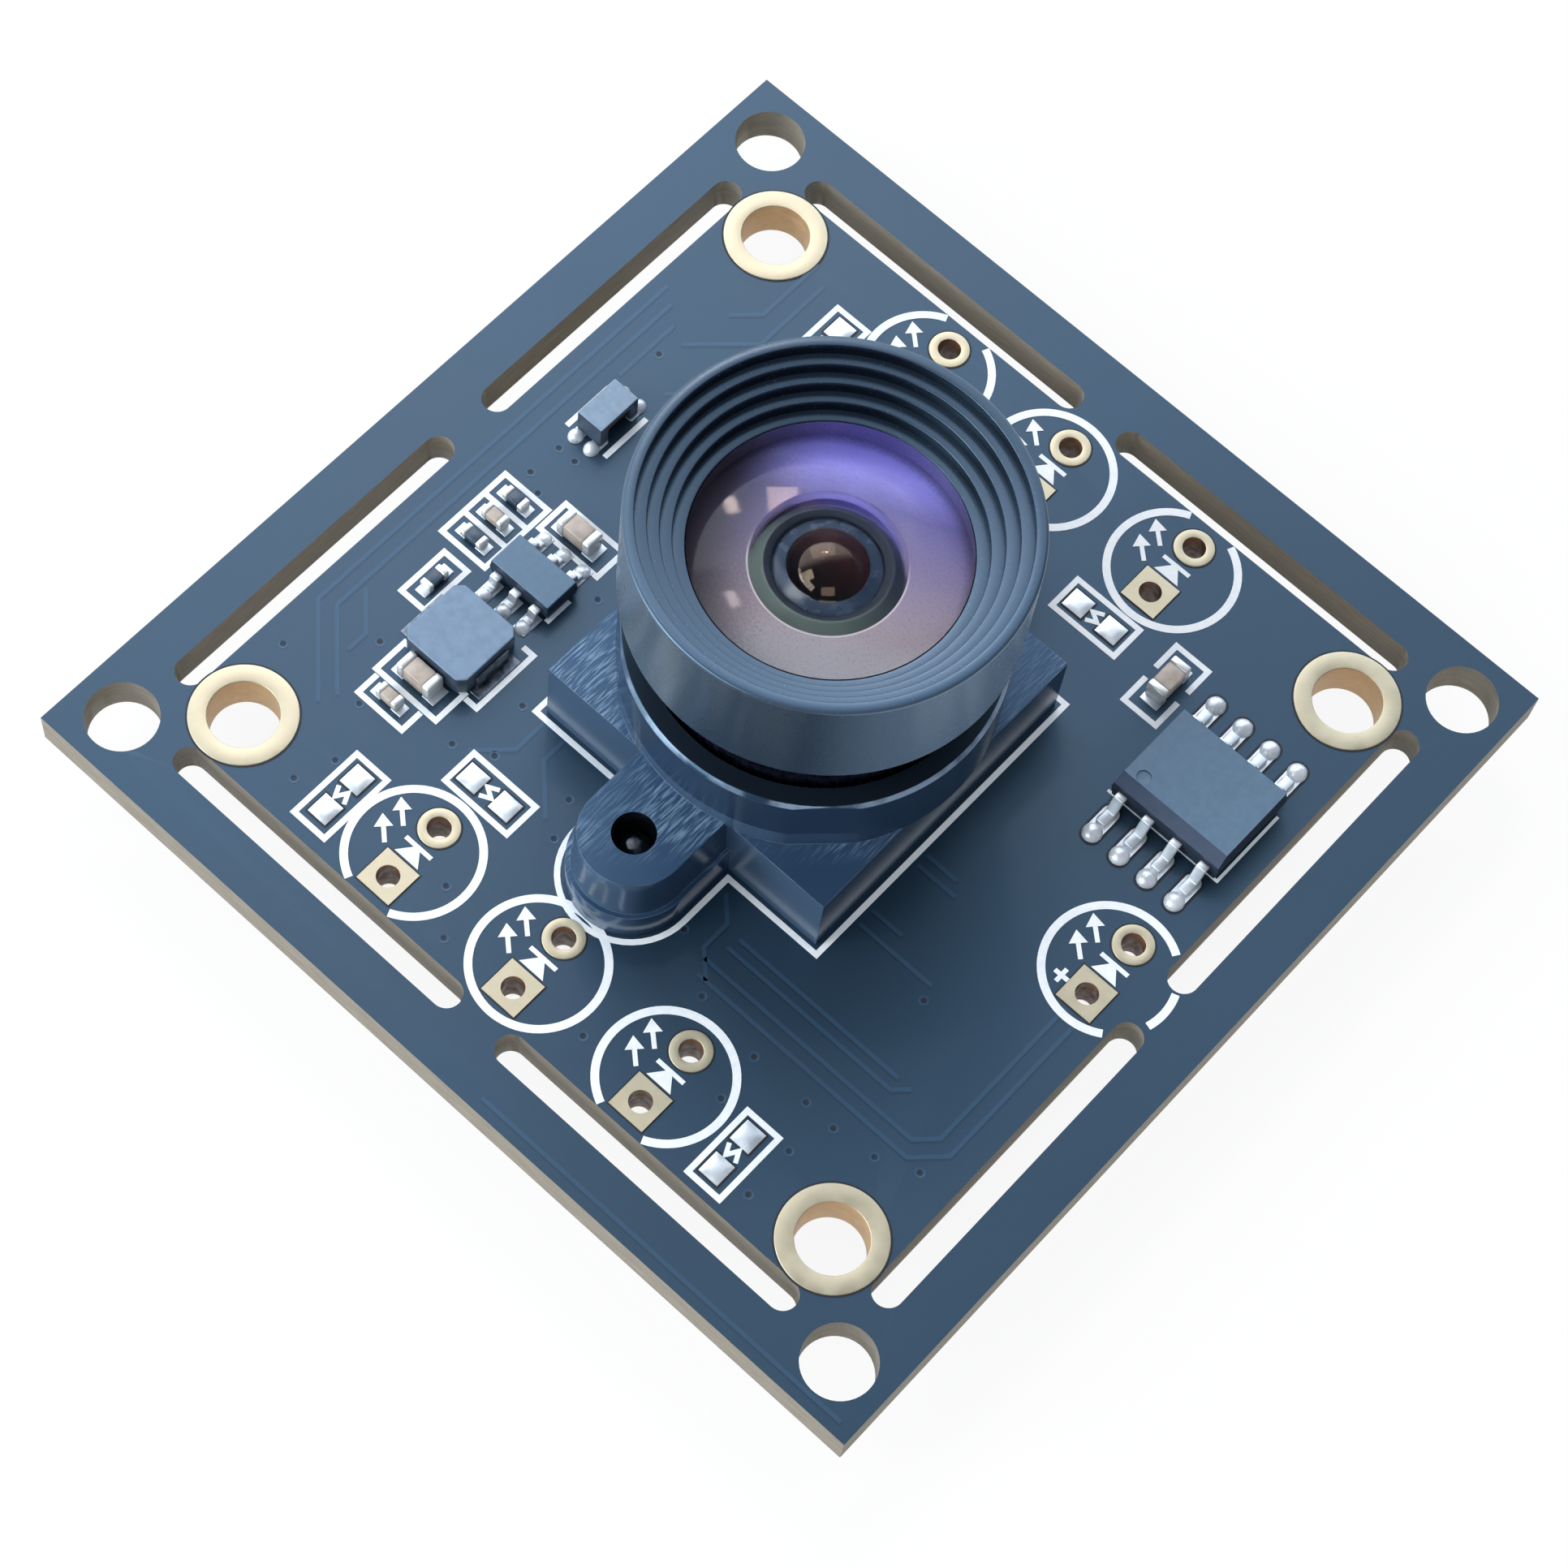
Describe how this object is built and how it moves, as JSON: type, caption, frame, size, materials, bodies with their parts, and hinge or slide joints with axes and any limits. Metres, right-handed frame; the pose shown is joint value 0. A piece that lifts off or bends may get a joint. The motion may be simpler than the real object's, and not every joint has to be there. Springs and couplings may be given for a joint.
{
  "type": "camera module",
  "caption": "Square bare-board camera: a slate-blue circuit board with break-off frame, black screw-in lens in a moulded holder, and surface-mount electronics.",
  "frame": {"origin": "centre of the circuit board's back face, at the middle of both hole patterns", "axes": "+Z along the optical axis, out through the lens; +X and +Y along the board's edges"},
  "size_m": [0.038, 0.038, 0.0187],
  "materials": {
    "solder_mask": "slate-blue solder mask over glass-fibre laminate",
    "gold_plating": "thin gold over copper, satin",
    "tin": "bright tin and solder",
    "holder_plastic": "black moulded plastic, glossy sides",
    "barrel_black": "matt black anodised metal",
    "coated_glass": "polished glass with a violet anti-glare coating",
    "filter_glass": "clear flat glass",
    "screw_steel": "plated steel",
    "chip_epoxy": "dark moulded epoxy",
    "ferrite": "dark grey ferrite",
    "copper_wire": "enamelled copper wire",
    "capacitor_ceramic": "tan ceramic",
    "resistor_black": "black glaze over alumina",
    "sensor_ceramic": "dark alumina",
    "silicon": "polished silicon",
    "connector_ivory": "ivory moulded plastic"
  },
  "bodies": {
    "root": {"circuit_board": "solder_mask", "mount_pads": "gold_plating", "round_lead_pads": "gold_plating", "square_lead_pads": "gold_plating", "bare_pads": "tin", "memory_leads": "tin", "memory_pads": "tin", "regulator_leads": "tin", "regulator_pads": "tin", "choke_ends": "tin", "choke_pads": "tin", "inductor_ends": "tin", "inductor_pads": "tin", "large_capacitor_ends": "tin", "small_capacitor_ends": "tin", "resistor_ends": "tin", "chip_pads": "tin", "controller_leads": "tin", "connector_contacts": "tin", "connector_tabs": "tin", "back_capacitor_ends": "tin", "lens_holder": "holder_plastic", "lens_barrel": "barrel_black", "baffle_ring": "barrel_black", "spacer_ring": "barrel_black", "retaining_ring": "barrel_black", "front_lens": "coated_glass", "middle_lens": "coated_glass", "rear_lens": "coated_glass", "infrared_filter": "filter_glass", "sensor_glass": "filter_glass", "holder_screws": "screw_steel", "crystal_lid": "screw_steel", "memory_chip": "chip_epoxy", "regulator_chip": "chip_epoxy", "controller_chip": "chip_epoxy", "choke_core": "ferrite", "power_inductor": "ferrite", "choke_winding": "copper_wire", "large_capacitors": "capacitor_ceramic", "small_capacitors": "capacitor_ceramic", "back_capacitors": "capacitor_ceramic", "resistors": "resistor_black", "sensor_package": "sensor_ceramic", "crystal_base": "sensor_ceramic", "sensor_die": "silicon", "connector_housing": "connector_ivory"}
  },
  "joints": []
}
